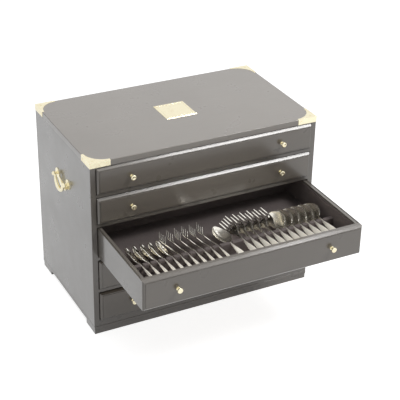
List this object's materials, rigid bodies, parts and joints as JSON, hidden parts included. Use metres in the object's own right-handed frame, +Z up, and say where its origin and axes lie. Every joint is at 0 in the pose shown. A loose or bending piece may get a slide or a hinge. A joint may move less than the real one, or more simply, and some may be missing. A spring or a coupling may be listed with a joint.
{
  "type": "silverware chest",
  "caption": "Freestanding tabletop chest with sliding felt-lined drawers, brass corner brackets, mushroom knobs, hanging side handles and racked cutlery in the open drawer.",
  "frame": {"origin": "centre of the chest's footprint, on the surface it stands on", "axes": "+X to the chest's right seen from its front, -Y out of the front, +Z up"},
  "size_m": [0.5684, 0.5616, 0.4241],
  "materials": {
    "lacquer_top": "satin taupe-grey lacquer",
    "lacquer_case": "satin taupe-grey lacquer",
    "lacquer_drawer": "satin taupe-grey lacquer",
    "lacquer_inner": "satin lacquer",
    "bare_wood": "planed, unlacquered",
    "felt": "dark brown felt",
    "brass": "polished",
    "steel": "zinc plated",
    "silver": "polished silver plate"
  },
  "bodies": {
    "chest": {"top_panel": "lacquer_top", "side_panel_left": "lacquer_case", "side_panel_right": "lacquer_case", "back_panel": "lacquer_case", "base_panel": "lacquer_case", "feet": "lacquer_case", "front_rails": "lacquer_case", "bottom_rail": "lacquer_case", "runners": "bare_wood", "drawer_stops": "bare_wood", "corner_bracket_front_left": "brass", "corner_bracket_front_right": "brass", "corner_bracket_rear_left": "brass", "corner_bracket_rear_right": "brass", "bracket_screws": "brass", "plaque": "brass", "plaque_pins": "brass", "handle_plates": "brass", "handle_posts": "brass", "handle_nuts": "steel"},
    "bail_left": {"bail_left": "brass"},
    "bail_right": {"bail_right": "brass"},
    "drawer_1": {"drawer_1_face": "lacquer_drawer", "drawer_1_box_front": "lacquer_drawer", "drawer_1_box_sides": "lacquer_inner", "drawer_1_box_back": "lacquer_inner", "drawer_1_box_bottom": "bare_wood", "drawer_1_knobs": "brass", "drawer_1_tray": "felt"},
    "drawer_2": {"drawer_2_face": "lacquer_drawer", "drawer_2_box_front": "lacquer_drawer", "drawer_2_box_sides": "lacquer_inner", "drawer_2_box_back": "lacquer_inner", "drawer_2_box_bottom": "bare_wood", "drawer_2_knobs": "brass", "drawer_2_tray": "felt"},
    "drawer_3": {"drawer_3_face": "lacquer_drawer", "drawer_3_box_front": "lacquer_drawer", "drawer_3_box_sides": "lacquer_inner", "drawer_3_box_back": "lacquer_inner", "drawer_3_box_bottom": "bare_wood", "drawer_3_knobs": "brass", "drawer_3_tray": "felt", "spoons": "silver", "forks": "silver", "serving_spoon": "silver"},
    "drawer_4": {"drawer_4_face": "lacquer_drawer", "drawer_4_box_front": "lacquer_drawer", "drawer_4_box_sides": "lacquer_inner", "drawer_4_box_back": "lacquer_inner", "drawer_4_box_bottom": "bare_wood", "drawer_4_knobs": "brass", "drawer_4_tray": "felt"},
    "drawer_5": {"drawer_5_face": "lacquer_drawer", "drawer_5_box_front": "lacquer_drawer", "drawer_5_box_sides": "lacquer_inner", "drawer_5_box_back": "lacquer_inner", "drawer_5_box_bottom": "bare_wood", "drawer_5_knobs": "brass", "drawer_5_tray": "felt"}
  },
  "joints": [
    {"name": "drawer_1_slide", "type": "slide", "parent": "chest", "child": "drawer_1", "axis": [0, -1, 0], "range_m": [0, 0.245]},
    {"name": "drawer_2_slide", "type": "slide", "parent": "chest", "child": "drawer_2", "axis": [0, -1, 0], "range_m": [0, 0.245]},
    {"name": "drawer_3_slide", "type": "slide", "parent": "chest", "child": "drawer_3", "axis": [0, -1, 0], "range_m": [-0.222, 0.023]},
    {"name": "drawer_4_slide", "type": "slide", "parent": "chest", "child": "drawer_4", "axis": [0, -1, 0], "range_m": [0, 0.245]},
    {"name": "drawer_5_slide", "type": "slide", "parent": "chest", "child": "drawer_5", "axis": [0, -1, 0], "range_m": [0, 0.245]},
    {"name": "bail_left_hinge", "type": "hinge", "parent": "chest", "child": "bail_left", "pos_m": [-0.2792, 0, 0.312], "axis": [0, 1, 0], "range_deg": [-6, 150]},
    {"name": "bail_right_hinge", "type": "hinge", "parent": "chest", "child": "bail_right", "pos_m": [0.2792, 0, 0.312], "axis": [0, -1, 0], "range_deg": [-6, 150]}
  ]
}
